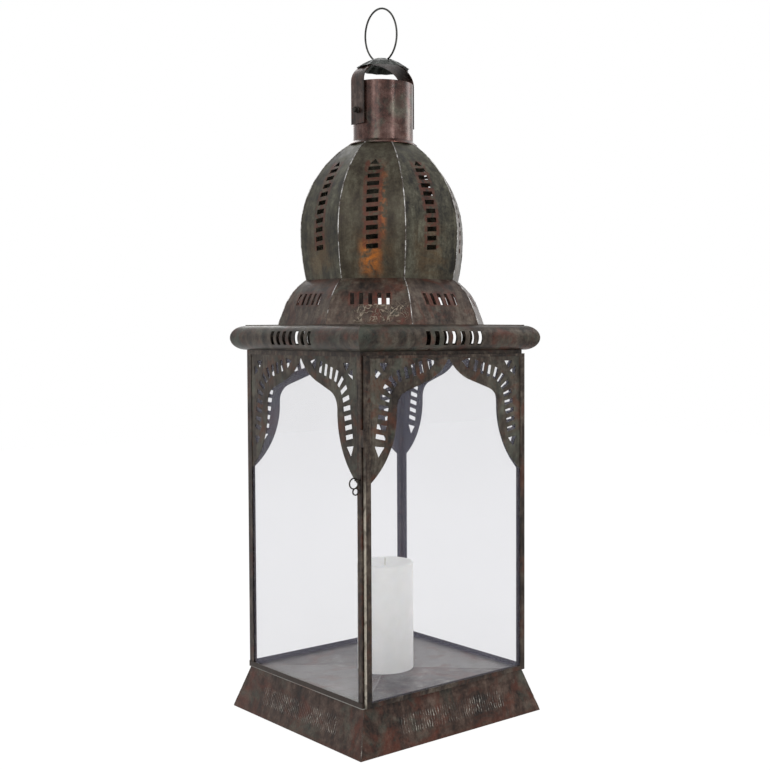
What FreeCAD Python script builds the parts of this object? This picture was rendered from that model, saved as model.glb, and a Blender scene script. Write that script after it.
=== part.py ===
import FreeCAD, Part
import math
import os
from types import SimpleNamespace
from FreeCAD import Placement, Rotation, Vector

# A candle lantern of folded tinplate, 950 mm tall. Millimetres, +Z up.
# The origin is the middle of the base on the floor; the door faces -Y and is hinged on the +X side.

SIZES = (
    # folded sheet and glass
    ("sheet", 0.8),
    ("arch_sheet", 0.7),
    ("glass_thickness", 1.8),
    ("channel_slot", 2.6),
    ("seat_gap", 0.05),
    # skirt
    ("skirt_width", 299.6),
    ("skirt_top_width", 264.0),
    ("skirt_height", 56.0),
    ("skirt_sheet", 1.0),
    ("skirt_hem", 7.0),
    # glazed box
    ("box_width", 267.0),
    ("front_setback", 2.1),
    ("box_height", 436.0),
    ("tray_rail_height", 7.4),
    ("top_rail_height", 6.0),
    ("post_face", 10.5),
    ("front_post_face", 8.7),
    ("corner_radius", 1.0),
    # arch fretwork, measured down from the top of the box and in from the posts
    ("arch_apex_drop", 8.5),
    ("arch_throat_drop", 38.0),
    ("arch_shoulder_drop", 49.2),
    ("arch_waist_drop", 76.0),
    ("arch_foot_drop", 160.0),
    ("arch_leg_width", 40.5),
    ("arch_shoulder_inset", 15.5),
    ("arch_throat_half", 36.0),
    ("fret_offset", 19.5),
    ("fret_lean", 7.0),
    ("fret_foot_drop", 116.0),
    ("fret_bend_drop", 64.0),
    ("fret_top_drop", 30.5),
    ("fret_end_drop", 16.5),
    ("fret_end_half", 34.0),
    ("fret_slots", 11.0),
    ("fret_slot_length", 15.0),
    ("fret_slot_width", 5.8),
    ("slot_skew", 1.2),
    ("fret_point", 13.0),
    ("corner_cut", 14.0),
    ("corner_cut_depth", 10.5),
    # cornice and deck
    ("cornice_radius", 16.4),
    ("roof_sheet", 1.0),
    ("cornice_slots", 7.0),
    ("cornice_slot_width", 7.0),
    ("cornice_slot_height", 17.4),
    ("cornice_slot_pitch", 14.2),
    # drum
    ("drum_base_width", 264.6),
    ("drum_lean", 19.4),
    ("drum_straight", 24.4),
    ("drum_radius", 75.0),
    ("drum_height", 59.0),
    ("drum_slots", 5.0),
    ("drum_slot_width", 5.2),
    ("drum_slot_height", 14.8),
    ("drum_slot_pitch", 11.5),
    ("drum_slot_rise", 32.3),
    # dome
    ("dome_width", 207.4),
    ("dome_belly_rise", 62.0),
    ("dome_radius", 146.0),
    ("gore_slots", 10.0),
    ("gore_slot_length", 15.4),
    ("gore_slot_width", 6.2),
    ("gore_slot_pitch", 11.75),
    ("gore_slot_start", 21.6),
    ("gore_point", 9.0),
    # chimney
    ("chimney_radius", 40.3),
    ("chimney_height", 82.0),
    ("chimney_foot", 5.4),
    # handle, smoke cap and ring
    ("handle_width", 28.0),
    ("handle_sheet", 1.2),
    ("handle_side_gap", 0.7),
    ("handle_pivot_rise", 43.9),
    ("handle_leg_drop", 18.0),
    ("handle_straight", 39.0),
    ("handle_rise", 67.4),
    ("rivet_radius", 2.0),
    ("rivet_head_radius", 4.6),
    ("rivet_head_height", 2.6),
    ("cap_width", 72.0),
    ("cap_height", 13.8),
    ("cap_flutes", 16.0),
    ("cap_crimp", 0.065),
    ("cap_bend", 0.43),
    ("ring_wire", 2.6),
    ("ring_width", 72.2),
    ("ring_lean", 5.0),
    # door
    ("door_bottom_gap", 1.0),
    ("door_top_gap", 4.7),
    ("door_back_gap", 1.2),
    ("door_side_gap", 2.1),
    ("door_stile", 8.3),
    ("door_hinge_stile_width", 7.0),
    ("door_bottom_rail_height", 6.0),
    ("door_top_rail_height", 3.5),
    ("hinge_rod_radius", 1.15),
    ("hinge_play", 0.05),
    ("knuckle_gap", 0.3),
    ("lap_tab_rise", 321.0),
    ("lap_tab_height", 21.0),
    ("frame_knuckle_length", 30.0),
    ("frame_knuckle_rise", 95.0),
    # latch
    ("latch_wire", 1.8),
    ("latch_rise", 280.8),
    ("latch_big_loop", 12.8),
    ("latch_small_loop", 8.0),
    ("staple_half_width", 2.6),
    # candle
    ("candle_width", 76.2),
    ("candle_height", 146.0),
    ("wick_radius", 1.0),
    ("wick_height", 11.0),
    ("running_gap", 0.3),
)

os.makedirs("parts", exist_ok=True)
doc = FreeCAD.newDocument("lantern")
sheet_table = doc.addObject("Spreadsheet::Sheet", "sizes")
for row, (alias, value) in enumerate(SIZES, start=1):
    sheet_table.set(f"A{row}", alias)
    sheet_table.set(f"B{row}", str(value))
    sheet_table.setAlias(f"B{row}", alias)
doc.recompute()
s = SimpleNamespace(**{alias: float(sheet_table.get(alias)) for alias, value in SIZES})

# Places worked out from the sizes.
box_half = s.box_width / 2
front_half = box_half - s.front_setback
channel_depth = 2 * s.sheet + s.channel_slot
tray_z = s.skirt_height
floor_z = tray_z + s.sheet
box_top = tray_z + s.box_height
cornice_middle = box_top + s.cornice_radius
deck_z = box_top + 2 * s.cornice_radius
drum_z = deck_z + s.roof_sheet
seam_z = drum_z + s.drum_height
belly_z = seam_z + s.dome_belly_rise

SIDE_ANGLE = {"front": 0, "right": 90, "back": 180, "left": 270}
sub_parts = []


# ---- drawing helpers -------------------------------------------------------------------------

def flat(point):
    return Vector(point[0], point[1], 0)


def line(start, end):
    return Part.LineSegment(flat(start), flat(end))


def arc(start, middle, end):
    return Part.ArcOfCircle(Part.Circle(flat(start), flat(middle), flat(end)), *arc_angles(start, middle, end))


def arc_angles(start, middle, end):
    """Start and end angle, anticlockwise, of the arc through three points."""
    circle = Part.Circle(flat(start), flat(middle), flat(end))
    first, between, last = (circle.parameter(flat(point)) for point in (start, middle, end))
    turned = (between - first) % (2 * math.pi)
    whole = (last - first) % (2 * math.pi)
    if turned > whole:
        first, last = last, first
    return first, last if last > first else last + 2 * math.pi


def leaving_arc(start, direction, end):
    """The arc that leaves start along direction and ends at end."""
    across, up = end[0] - start[0], end[1] - start[1]
    chord = math.hypot(across, up)
    along = (direction[0] * across + direction[1] * up) / chord
    beside = (direction[1] * across - direction[0] * up) / chord
    bulge = math.tan(math.atan2(beside, along) / 2) / 2
    middle = (start[0] + across / 2 - up * bulge, start[1] + up / 2 + across * bulge)
    return arc(start, middle, end)


def polygon(points):
    return [line(start, end) for start, end in zip(points, points[1:] + points[:1])]


def regular_points(radii, x=0.0, y=0.0, turn=0.0):
    """One corner for each radius, evenly spaced round (x, y)."""
    corners = []
    for index, radius in enumerate(radii):
        angle = turn + 2 * math.pi * index / len(radii)
        corners.append((x + radius * math.cos(angle), y + radius * math.sin(angle)))
    return corners


def rounded_rectangle(left, right, low, high, radius):
    bend = radius * (1 - math.sqrt(0.5))
    return [
        line((left + radius, low), (right - radius, low)),
        arc((right - radius, low), (right - bend, low + bend), (right, low + radius)),
        line((right, low + radius), (right, high - radius)),
        arc((right, high - radius), (right - bend, high - bend), (right - radius, high)),
        line((right - radius, high), (left + radius, high)),
        arc((left + radius, high), (left + bend, high - bend), (left, high - radius)),
        line((left, high - radius), (left, low + radius)),
        arc((left, low + radius), (left + bend, low + bend), (left + radius, low)),
    ]


def chiselled_slot(center, along, length, width):
    """A slot cut across a course by a chisel held a little askew."""
    across = (along[1], -along[0])
    half, side, skew = length / 2, width / 2, s.slot_skew / 2
    corners = ((-half, -side - skew), (half, -side + skew), (half, side + skew), (-half, side - skew))
    return polygon([(center[0] + a * across[0] + b * along[0], center[1] + a * across[1] + b * along[1])
                    for a, b in corners])


def triangle(base, tip_direction, width, height):
    """A cut with its base centred on a point and its tip along a direction."""
    across = (tip_direction[1] * width / 2, -tip_direction[0] * width / 2)
    return polygon([(base[0] - across[0], base[1] - across[1]),
                    (base[0] + across[0], base[1] + across[1]),
                    (base[0] + tip_direction[0] * height, base[1] + tip_direction[1] * height)])


def mirrored(edges):
    """The same edges on the other side of the middle line."""
    copies = []
    for edge in edges:
        points = [edge.value(edge.FirstParameter + (edge.LastParameter - edge.FirstParameter) * part)
                  for part in (0, 0.5, 1)]
        start, middle, end = ((-point.x, point.y) for point in points)
        copies.append(line(start, end) if isinstance(edge, Part.LineSegment) else arc(start, middle, end))
    return copies


# ---- feature helpers -------------------------------------------------------------------------

def new_body(label, placement=Placement()):
    body = doc.addObject("PartDesign::Body", label)
    body.Label = label
    body.Placement = placement
    sub_parts.append(body)
    return body


def new_sketch(body, name, role, edges, offset=Vector()):
    sketch = body.newObject("Sketcher::SketchObject", f"{body.Name}_{name}")
    plane = next(item for item in body.Origin.OriginFeatures if item.Role == role)
    sketch.AttachmentSupport = (plane, [""])
    sketch.MapMode = "FlatFace"
    sketch.AttachmentOffset = Placement(offset, Rotation())
    sketch.addGeometry(edges, False)
    return sketch


def pad(body, name, sketch, length, symmetric=False):
    feature = body.newObject("PartDesign::Pad", f"{body.Name}_{name}")
    feature.Profile = sketch
    feature.SideType = "Symmetric" if symmetric else "One side"
    feature.setExpression("Length", length)
    return feature


def cut_through(body, name, sketch):
    feature = body.newObject("PartDesign::Pocket", f"{body.Name}_{name}")
    feature.Profile = sketch
    feature.SideType = "Symmetric"
    feature.Type = "ThroughAll"
    return feature


def revolve(body, name, sketch, axis):
    feature = body.newObject("PartDesign::Revolution", f"{body.Name}_{name}")
    feature.Profile = sketch
    feature.ReferenceAxis = (sketch, [axis])
    feature.Angle = 360
    return feature


def plate(label, edges, thickness, placement, role="XZ_Plane"):
    body = new_body(label, placement)
    pad(body, "sheet", new_sketch(body, "outline", role, edges), thickness)
    return body


def box(label, corner, length, width, height):
    """A pane or block whose sides are bound to the sizes."""
    block = doc.addObject("Part::Box", label)
    block.Label = label
    block.setExpression("Length", length)
    block.setExpression("Width", width)
    block.setExpression("Height", height)
    block.Placement = corner
    sub_parts.append(block)
    return block


def on_side(side, x=0.0, y=0.0, z=0.0):
    """A place in the frame of one side: x to the right seen from outside, y inwards, z up."""
    turn = Placement(Vector(), Rotation(Vector(0, 0, 1), SIDE_ANGLE[side]))
    return turn.multiply(Placement(Vector(x, y, z), Rotation()))


def side_extent(side):
    """How far out a side's face stands, and where it starts and ends along its own x."""
    if side == "front":
        return front_half, -box_half, box_half
    if side == "right":
        return box_half, -front_half, box_half
    if side == "left":
        return box_half, -box_half, front_half
    return box_half, -box_half, box_half


def post_faces(side):
    """Widths of the post faces at the start and the end of a side."""
    return {"front": (s.front_post_face, s.front_post_face), "right": (s.front_post_face, s.post_face),
            "back": (s.post_face, s.post_face), "left": (s.post_face, s.front_post_face)}[side]


def mitred_panel(label, count, angle, profile, reach, cuts=()):
    """A bent sheet that faces outwards, mitred to meet its neighbours round the lantern."""
    slope = math.tan(math.pi / count)
    far = reach * 1.1
    near = reach * 0.05
    beyond = far * slope + reach * 0.2
    body = new_body(label, Placement(Vector(), Rotation(Vector(0, 0, 1), angle)))
    run = new_sketch(body, "profile", "YZ_Plane", profile)
    strip = pad(body, "strip", run, "10", symmetric=True)
    strip.setExpression("Length", None)
    strip.Length = 2 * reach * slope + reach * 0.1
    corners = [(near * slope, -near), (far * slope, -far), (beyond, -far), (beyond, -near)]
    waste = polygon(corners) + polygon([(-x, y) for x, y in corners])
    cut_through(body, "mitres", new_sketch(body, "mitre_lines", "XY_Plane", waste))
    if cuts:
        cut_through(body, "slots", new_sketch(body, "slot_lines", "XZ_Plane", list(cuts)))
    return body


# ---- skirt and floor tray --------------------------------------------------------------------

def skirt_profile():
    foot, top = s.skirt_width / 2, s.skirt_top_width / 2
    run = foot - top
    wall = s.skirt_sheet * math.hypot(run, s.skirt_height) / s.skirt_height
    hem_top = foot - wall - run * s.skirt_sheet / s.skirt_height
    return polygon([(-foot, 0), (-top, s.skirt_height), (-top + wall, s.skirt_height),
                    (-hem_top, s.skirt_sheet), (-foot + s.skirt_hem, s.skirt_sheet), (-foot + s.skirt_hem, 0)])


def make_skirt():
    for side, angle in SIDE_ANGLE.items():
        mitred_panel(f"skirt_{side}", 4, angle, skirt_profile(), s.skirt_width / 2)


def make_floor_tray():
    outer = rounded_rectangle(-box_half - s.sheet, box_half + s.sheet, -front_half - s.sheet,
                              box_half + s.sheet, s.corner_radius + s.sheet)
    inner = rounded_rectangle(-box_half, box_half, -front_half, box_half, s.corner_radius)
    body = new_body("floor_tray", Placement(Vector(0, 0, tray_z), Rotation()))
    pad(body, "floor", new_sketch(body, "floor_outline", "XY_Plane", outer), "sizes.sheet")
    pad(body, "rails", new_sketch(body, "rail_outline", "XY_Plane", outer + inner), "sizes.tray_rail_height")


# ---- glazed box ------------------------------------------------------------------------------

def make_post(label, x, y, angle, face):
    """A folded post: square core, a face on each side, and a lip behind each pane."""
    t, d, r = s.sheet, channel_depth, s.corner_radius
    lip = face - 2 * t
    points = [(r, 0), (face, 0), (face, t), (d, t), (d, d - t), (lip, d - t), (lip, d), (d, d),
              (d, lip), (d - t, lip), (d - t, d), (t, d), (t, face), (0, face), (0, r)]
    bend = r * (1 - math.sqrt(0.5))
    outline = [line(start, end) for start, end in zip(points, points[1:])]
    outline.append(arc((0, r), (bend, bend), (r, 0)))
    core = polygon([(t, t), (d - t, t), (d - t, d - t), (t, d - t)])
    body = new_body(label, Placement(Vector(x, y, floor_z), Rotation(Vector(0, 0, 1), angle)))
    section = new_sketch(body, "section", "XY_Plane", outline + core)
    pad(body, "length", section, "sizes.box_height - sizes.sheet")


def make_posts():
    make_post("post_front_left", -box_half, -front_half, 0, s.front_post_face)
    make_post("post_front_right", box_half, -front_half, 90, s.front_post_face)
    make_post("post_back_right", box_half, box_half, 180, s.post_face)
    make_post("post_back_left", -box_half, box_half, 270, s.post_face)


def channel(depth_start, low, height, back_height, opens_up):
    """Section of a folded channel rail in the plane across its run."""
    t, d = s.sheet, channel_depth
    points = [(0, 0), (t, 0), (t, height - t), (d - t, height - t), (d - t, height - back_height),
              (d, height - back_height), (d, height), (0, height)]
    if opens_up:
        points = [(across, height - up) for across, up in points]
    return polygon([(depth_start + across, low + up) for across, up in points])


def make_top_rails():
    for side in SIDE_ANGLE:
        distance, start, end = side_extent(side)
        first, last = post_faces(side)
        body = new_body(f"top_rail_{side}", on_side(side, x=start + first, z=box_top - s.top_rail_height))
        section = channel(-distance, 0, s.top_rail_height, s.top_rail_height, opens_up=False)
        rail = pad(body, "length", new_sketch(body, "section", "YZ_Plane", section), "sizes.box_width")
        rail.setExpression("Length", f"{end - start - first - last}")


def arch_curve(opening_half):
    """Half of the cusped arch, from its foot at the post up to its point."""
    waist = opening_half - s.arch_leg_width
    shoulder = (waist - s.arch_shoulder_inset, -s.arch_shoulder_drop)
    throat = (s.arch_throat_half, -s.arch_throat_drop)
    slope = (throat[0] - shoulder[0], throat[1] - shoulder[1])
    length = math.hypot(*slope)
    turn = math.acos(slope[1] / length)
    elbow_radius = s.arch_shoulder_inset / (1 - math.cos(turn))
    elbow = (waist, shoulder[1] - elbow_radius * math.sin(turn))
    foot = (opening_half, -s.arch_foot_drop)
    narrow = (waist, -s.arch_waist_drop)
    return [
        leaving_arc(narrow, (0, -1), foot),
        line(narrow, elbow),
        leaving_arc(elbow, (0, 1), shoulder),
        line(shoulder, throat),
        leaving_arc(throat, (slope[0] / length, slope[1] / length), (0, -s.arch_apex_drop)),
    ]


def fret_cuts(opening_half):
    """The row of slots that follows one half of the arch, its two end points and the corner cuts."""
    waist = opening_half - s.arch_leg_width
    bend = (waist + s.fret_offset, -s.fret_bend_drop)
    foot = (bend[0] + s.fret_lean, -s.fret_foot_drop)
    shoulder = (waist - s.arch_shoulder_inset + s.corner_cut, -s.fret_top_drop)
    end = (s.fret_end_half, -s.fret_end_drop)
    leaning = (bend[0] - foot[0], bend[1] - foot[1])
    length = math.hypot(*leaning)
    course = [line(foot, bend), leaving_arc(bend, (leaning[0] / length, leaning[1] / length), shoulder),
              line(shoulder, end)]
    wire = Part.Wire([edge.toShape() for edge in course])
    count = int(s.fret_slots)
    points = wire.discretize(Number=2 * count + 3)
    cuts = []
    for index in range(1, count + 1):
        ahead = points[2 * index + 1] - points[2 * index - 1]
        along = (ahead.x / ahead.Length, ahead.y / ahead.Length)
        spot = points[2 * index]
        cuts += chiselled_slot((spot.x, spot.y), along, s.fret_slot_length, s.fret_slot_width)
    for base, tip in ((points[1], points[0]), (points[-2], points[-1])):
        away = (tip - base).normalize()
        cuts += triangle((tip.x, tip.y), (away.x, away.y), s.fret_slot_length, s.fret_point)
    inset = s.corner_cut
    cuts += triangle((opening_half - 1.5 * inset, -inset), (0, -1), inset, s.corner_cut_depth)
    cuts += triangle((opening_half - 0.55 * inset, -1.95 * inset), (-1, 0), inset, s.corner_cut_depth)
    return cuts


def arch_plate(label, opening_half, left, right, top_drop, placement):
    """A fretwork sheet; its outer edges sit in the channels of the posts and the rail."""
    foot = s.arch_foot_drop
    half = arch_curve(opening_half)
    frame = [line((opening_half, -foot), (right, -foot)), line((right, -foot), (right, -top_drop)),
             line((right, -top_drop), (left, -top_drop)), line((left, -top_drop), (left, -foot)),
             line((left, -foot), (-opening_half, -foot))]
    body = plate(label, half + mirrored(half) + frame, "sizes.arch_sheet", placement)
    cuts = fret_cuts(opening_half)
    cut_through(body, "fretwork", new_sketch(body, "fret_lines", "XZ_Plane", cuts + mirrored(cuts)))


def make_glazing():
    """The arch sheet and the pane of each fixed side, one behind the other in the channels."""
    edge = channel_depth + s.seat_gap
    behind = s.sheet + s.arch_sheet
    for side in ("left", "back", "right"):
        distance, start, end = side_extent(side)
        middle = (start + end) / 2
        half = (end - start) / 2
        place = on_side(side, middle, behind - distance, box_top)
        arch_plate(f"arch_panel_{side}", half - s.post_face, edge - half, half - edge, s.sheet, place)
        corner = on_side(side, start + edge, behind + s.seat_gap - distance, floor_z)
        box(f"glass_{side}", corner, f"{2 * (half - edge)}", "sizes.glass_thickness",
            "sizes.box_height - 2 * sizes.sheet - sizes.seat_gap")


# ---- cornice and deck ------------------------------------------------------------------------

def make_cornice():
    """Half-round mouldings; a flange below sits on the box and one above carries the deck."""
    outer, t = s.cornice_radius, s.roof_sheet
    inner = outer - t
    flange = box_half - channel_depth
    low, high, middle = box_top, deck_z, cornice_middle
    profile = [
        line((-flange, low), (-box_half, low)),
        arc((-box_half, low), (-box_half - outer, middle), (-box_half, high)),
        line((-box_half, high), (-flange, high)),
        line((-flange, high), (-flange, high - t)),
        line((-flange, high - t), (-box_half, high - t)),
        arc((-box_half, high - t), (-box_half - inner, middle), (-box_half, low + t)),
        line((-box_half, low + t), (-flange, low + t)),
        line((-flange, low + t), (-flange, low)),
    ]
    cuts = []
    for index in range(int(s.cornice_slots)):
        x = (index - (s.cornice_slots - 1) / 2) * s.cornice_slot_pitch
        left, right = x - s.cornice_slot_width / 2, x + s.cornice_slot_width / 2
        low_cut, high_cut = middle - s.cornice_slot_height / 2, middle + s.cornice_slot_height / 2
        cuts += polygon([(left, low_cut), (right, low_cut), (right, high_cut), (left, high_cut)])
    for side, angle in SIDE_ANGLE.items():
        mitred_panel(f"cornice_{side}", 4, angle, profile, box_half + outer, cuts)


def make_deck():
    edge = box_half + s.roof_sheet
    inside = s.drum_base_width / 2 - channel_depth
    corner = inside / math.cos(math.pi / 8)
    opening = polygon(regular_points([corner] * 8, turn=math.pi / 8))
    outline = polygon([(-edge, -edge), (edge, -edge), (edge, edge), (-edge, edge)]) + opening
    place = Placement(Vector(0, 0, deck_z), Rotation())
    plate("roof_deck", outline, "sizes.roof_sheet", place, role="XY_Plane")


# ---- drum, dome and chimney ------------------------------------------------------------------

def drum_arc():
    """Foot of the bent part of the drum profile and the middle of its bend, as (apothem, height)."""
    lean = math.radians(s.drum_lean)
    foot = (s.drum_base_width / 2 - s.drum_straight * math.sin(lean), drum_z + s.drum_straight * math.cos(lean))
    middle = (foot[0] - s.drum_radius * math.cos(lean), foot[1] - s.drum_radius * math.sin(lean))
    return foot, middle


def bent_edge(middle, radius, low, high):
    """Part of a circle, from one height to another, on its outer side."""
    heights = (low, (low + high) / 2, high)
    return arc(*((-middle[0] - math.sqrt(radius ** 2 - (z - middle[1]) ** 2), z) for z in heights))


def edge_end(edge, highest):
    ends = sorted(((point.y, point.x) for point in (edge.StartPoint, edge.EndPoint)), reverse=highest)
    return ends[0][1], ends[0][0]


def drum_profile():
    foot, middle = drum_arc()
    lean = math.radians(s.drum_lean)
    t = s.roof_sheet
    base = s.drum_base_width / 2
    bend_out = bent_edge(middle, s.drum_radius, foot[1], seam_z)
    bend_in = bent_edge(middle, s.drum_radius - t, foot[1] - t * math.sin(lean), seam_z)
    inner_foot = -base + t / math.cos(lean)
    return [
        line((-base, drum_z), (-foot[0], foot[1])),
        bend_out,
        line(edge_end(bend_out, True), edge_end(bend_in, True)),
        bend_in,
        line(edge_end(bend_in, False), (inner_foot, drum_z)),
        line((inner_foot, drum_z), (-base, drum_z)),
    ]


def make_drum():
    cuts = []
    for index in range(int(s.drum_slots)):
        x = (index - (s.drum_slots - 1) / 2) * s.drum_slot_pitch
        cuts += chiselled_slot((x, drum_z + s.drum_slot_rise), (1, 0), s.drum_slot_height, s.drum_slot_width)
    for index in range(8):
        mitred_panel(f"drum_panel_{index + 1}", 8, 45 * index, drum_profile(), s.drum_base_width / 2, cuts)


def dome_shape():
    """Middles and radii of the two bends of a gore, and the height of its upper edge."""
    belly = s.dome_width / 2
    foot, middle = drum_arc()
    seam = middle[0] + math.sqrt(s.drum_radius ** 2 - (seam_z - middle[1]) ** 2)
    drop = belly - seam
    lower_radius = (s.dome_belly_rise ** 2 + drop ** 2) / (2 * drop)
    upper = (belly - s.dome_radius, belly_z)
    lower = (belly - lower_radius, belly_z)
    hole = s.chimney_radius + s.seat_gap - upper[0]
    top = belly_z + math.sqrt((s.dome_radius - s.roof_sheet) ** 2 - hole ** 2)
    return lower, lower_radius, upper, top


dome_lower, dome_lower_radius, dome_upper, dome_top = dome_shape()


def gore_profile():
    t = s.roof_sheet
    upper_out = bent_edge(dome_upper, s.dome_radius, belly_z, dome_top)
    upper_in = bent_edge(dome_upper, s.dome_radius - t, belly_z, dome_top)
    lower_out = bent_edge(dome_lower, dome_lower_radius, seam_z, belly_z)
    lower_in = bent_edge(dome_lower, dome_lower_radius - t, seam_z, belly_z)
    return [lower_out, upper_out, line(edge_end(upper_out, True), edge_end(upper_in, True)), upper_in, lower_in,
            line(edge_end(lower_in, False), edge_end(lower_out, False))]


def make_dome():
    """Eight pierced gores; the slots keep one pitch along the bend."""
    cuts = []
    for index in range(int(s.gore_slots) + 1):
        run = index * s.gore_slot_pitch - s.gore_slot_start
        angle = max(run, 0) / s.dome_radius
        z = belly_z + (run if run < 0 else s.dome_radius * math.sin(angle))
        if index < int(s.gore_slots):
            cuts += chiselled_slot((0, z), (0, 1), s.gore_slot_length, s.gore_slot_width * math.cos(angle))
        else:
            base = z - s.gore_point / 2 * math.cos(angle)
            cuts += triangle((0, base), (0, 1), s.gore_slot_length * 0.8, s.gore_point * math.cos(angle))
    for index in range(8):
        mitred_panel(f"dome_gore_{index + 1}", 8, 45 * index, gore_profile(), s.dome_width / 2, cuts)


pivot_z = dome_top + s.handle_pivot_rise


def make_chimney():
    outer, inner = s.chimney_radius, s.chimney_radius - s.roof_sheet
    foot = outer + s.chimney_foot
    base = dome_top + s.seat_gap
    top = dome_top + s.chimney_height
    body = new_body("chimney_tube")
    profile = polygon([(inner, base), (inner, top), (outer, top), (outer, base + s.chimney_foot),
                       (foot, base + s.roof_sheet), (foot, base)])
    revolve(body, "tube", new_sketch(body, "profile", "XZ_Plane", profile), "V_Axis")
    hole = [Part.Circle(Vector(0, pivot_z, 0), Vector(0, 0, 1), s.rivet_radius)]
    cut_through(body, "rivet_holes", new_sketch(body, "rivet_lines", "YZ_Plane", hole))


# ---- handle, smoke cap and ring --------------------------------------------------------------

strap_inner = s.chimney_radius + s.handle_side_gap
strap_outer = strap_inner + s.handle_sheet
strap_top = pivot_z + s.handle_rise
arch_z = pivot_z + s.handle_straight


def make_rivets():
    """A domed head outside the strap and a flat one inside the tube."""
    wall = math.sqrt((s.chimney_radius - s.roof_sheet) ** 2 - s.rivet_head_radius ** 2) - s.seat_gap
    seat = strap_outer + s.running_gap
    head, height = s.rivet_head_radius, s.rivet_head_height
    profile = [(wall - s.roof_sheet, 0), (wall - s.roof_sheet, head), (wall, head), (wall, s.rivet_radius),
               (seat, s.rivet_radius), (seat, head), (seat + 0.7 * height, 0.75 * head), (seat + height, 0)]
    halves = []
    for name, angle in (("rivet_right", 0), ("rivet_left", 180)):
        body = doc.addObject("PartDesign::Body", name)
        body.Placement = Placement(Vector(0, 0, pivot_z), Rotation(Vector(0, 0, 1), angle))
        revolve(body, "turned", new_sketch(body, "profile", "XZ_Plane", polygon(profile)), "H_Axis")
        halves.append(body)
    pair = doc.addObject("Part::Compound", "handle_rivets")
    pair.Label = "handle_rivets"
    pair.Links = halves
    sub_parts.append(pair)


def half_ellipse(half_width, rise):
    """Upper half of an ellipse that stands on the line where the strap starts to bend."""
    wide = max(half_width, rise)
    ellipse = Part.Ellipse(Vector(0, arch_z, 0), wide, min(half_width, rise))
    return Part.ArcOfEllipse(ellipse, 0, math.pi)


def make_strap():
    """An inverted U of flat strip, wider than the tube and bent over its mouth."""
    foot = pivot_z - s.handle_leg_drop
    rise = strap_top - arch_z
    outline = [
        line((-strap_outer, foot), (-strap_outer, arch_z)),
        half_ellipse(strap_outer, rise),
        line((strap_outer, arch_z), (strap_outer, foot)),
        line((strap_outer, foot), (strap_inner, foot)),
        line((strap_inner, foot), (strap_inner, arch_z)),
        half_ellipse(strap_inner, rise - s.handle_sheet),
        line((-strap_inner, arch_z), (-strap_inner, foot)),
        line((-strap_inner, foot), (-strap_outer, foot)),
    ]
    body = new_body("handle_strap")
    pad(body, "strip", new_sketch(body, "outline", "XZ_Plane", outline), "sizes.handle_width", symmetric=True)
    hole = [Part.Circle(Vector(0, pivot_z, 0), Vector(0, 0, 1), s.rivet_radius + s.hinge_play)]
    cut_through(body, "pivot_holes", new_sketch(body, "pivot_lines", "YZ_Plane", hole))


ring_low = strap_top + s.running_gap
ring_pin_z = ring_low + s.ring_wire / 2
cap_under = ring_low + s.ring_wire + 2 * s.running_gap


def fluted_ring(radius, z):
    """A closed zigzag of ridges and valleys at one height."""
    count = 2 * int(s.cap_flutes)
    radii = [radius * (1 - s.cap_crimp * (index % 2)) for index in range(count)]
    return [Vector(x, y, z) for x, y in regular_points(radii)]


def flat_face(corners):
    return Part.Face(Part.makePolygon(corners + corners[:1]))


def fluted_solid(rings):
    """The solid between zigzags of one shape; its flutes are flat because they shrink in step."""
    faces = [flat_face(rings[0]), flat_face(rings[-1])]
    for low, high in zip(rings, rings[1:]):
        for index in range(len(low)):
            following = (index + 1) % len(low)
            faces.append(flat_face([low[index], low[following], high[following], high[index]]))
    return Part.Solid(Part.Shell(faces))


def make_cap():
    """A shallow crimped cap: a flat crown, fluted slopes, and two slots that the ring passes through."""
    rim, drop, t = s.cap_width / 2, s.cap_height - s.roof_sheet, s.roof_sheet
    steps = ((rim, -drop), (rim * 0.68, -drop * s.cap_bend), (rim * 0.34, 0))
    upper, lower = (fluted_solid([fluted_ring(radius, cap_under + level + lift) for radius, level in steps])
                    for lift in (t, 0))
    shell = upper.cut(lower)
    half_slot = 1.7 * s.ring_wire
    bridge = 1.2 * s.ring_wire
    reach = 6.2 * s.ring_wire
    for side in (1, -1):
        low_y = min(side * bridge, side * reach)
        shell = shell.cut(Part.makeBox(2 * half_slot, reach - bridge, 4 * s.ring_wire,
                                       Vector(-half_slot, low_y, cap_under - 2 * s.ring_wire)))
    cap = doc.addObject("Part::Feature", "smoke_cap")
    cap.Label = "smoke_cap"
    cap.Shape = shell
    sub_parts.append(cap)


def make_ring():
    """A wire ring that leans a little; its lowest point is captive between the strap and the cap."""
    radius = (s.ring_width - s.ring_wire) / 2
    wire = regular_points([s.ring_wire / 2] * 8, x=radius, turn=math.pi / 8)
    lean = Rotation(Vector(0, 1, 0), -s.ring_lean)
    stand = Rotation(Vector(0, 0, 1), 90)
    center = Vector(0, 0, ring_pin_z) + lean.multVec(Vector(0, 0, radius))
    body = new_body("carry_ring", Placement(center, lean.multiply(stand)))
    revolve(body, "wire", new_sketch(body, "section", "XY_Plane", polygon(wire)), "V_Axis")


# ---- door ------------------------------------------------------------------------------------

door_back = -front_half - s.door_back_gap
door_front = door_back - channel_depth
door_left = s.door_side_gap - box_half
door_low = tray_z + s.door_bottom_gap
door_high = box_top - s.door_top_gap
knuckle_bore = s.hinge_rod_radius + s.hinge_play
knuckle_radius = knuckle_bore + s.sheet
hinge_x = box_half - knuckle_bore
hinge_y = door_front + knuckle_radius
hinge_web = hinge_x - knuckle_radius - s.knuckle_gap
hinge_stile_start = hinge_x - s.door_hinge_stile_width
frame_knuckles = (door_low + s.frame_knuckle_rise, door_high - s.frame_knuckle_rise - s.frame_knuckle_length)


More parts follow.
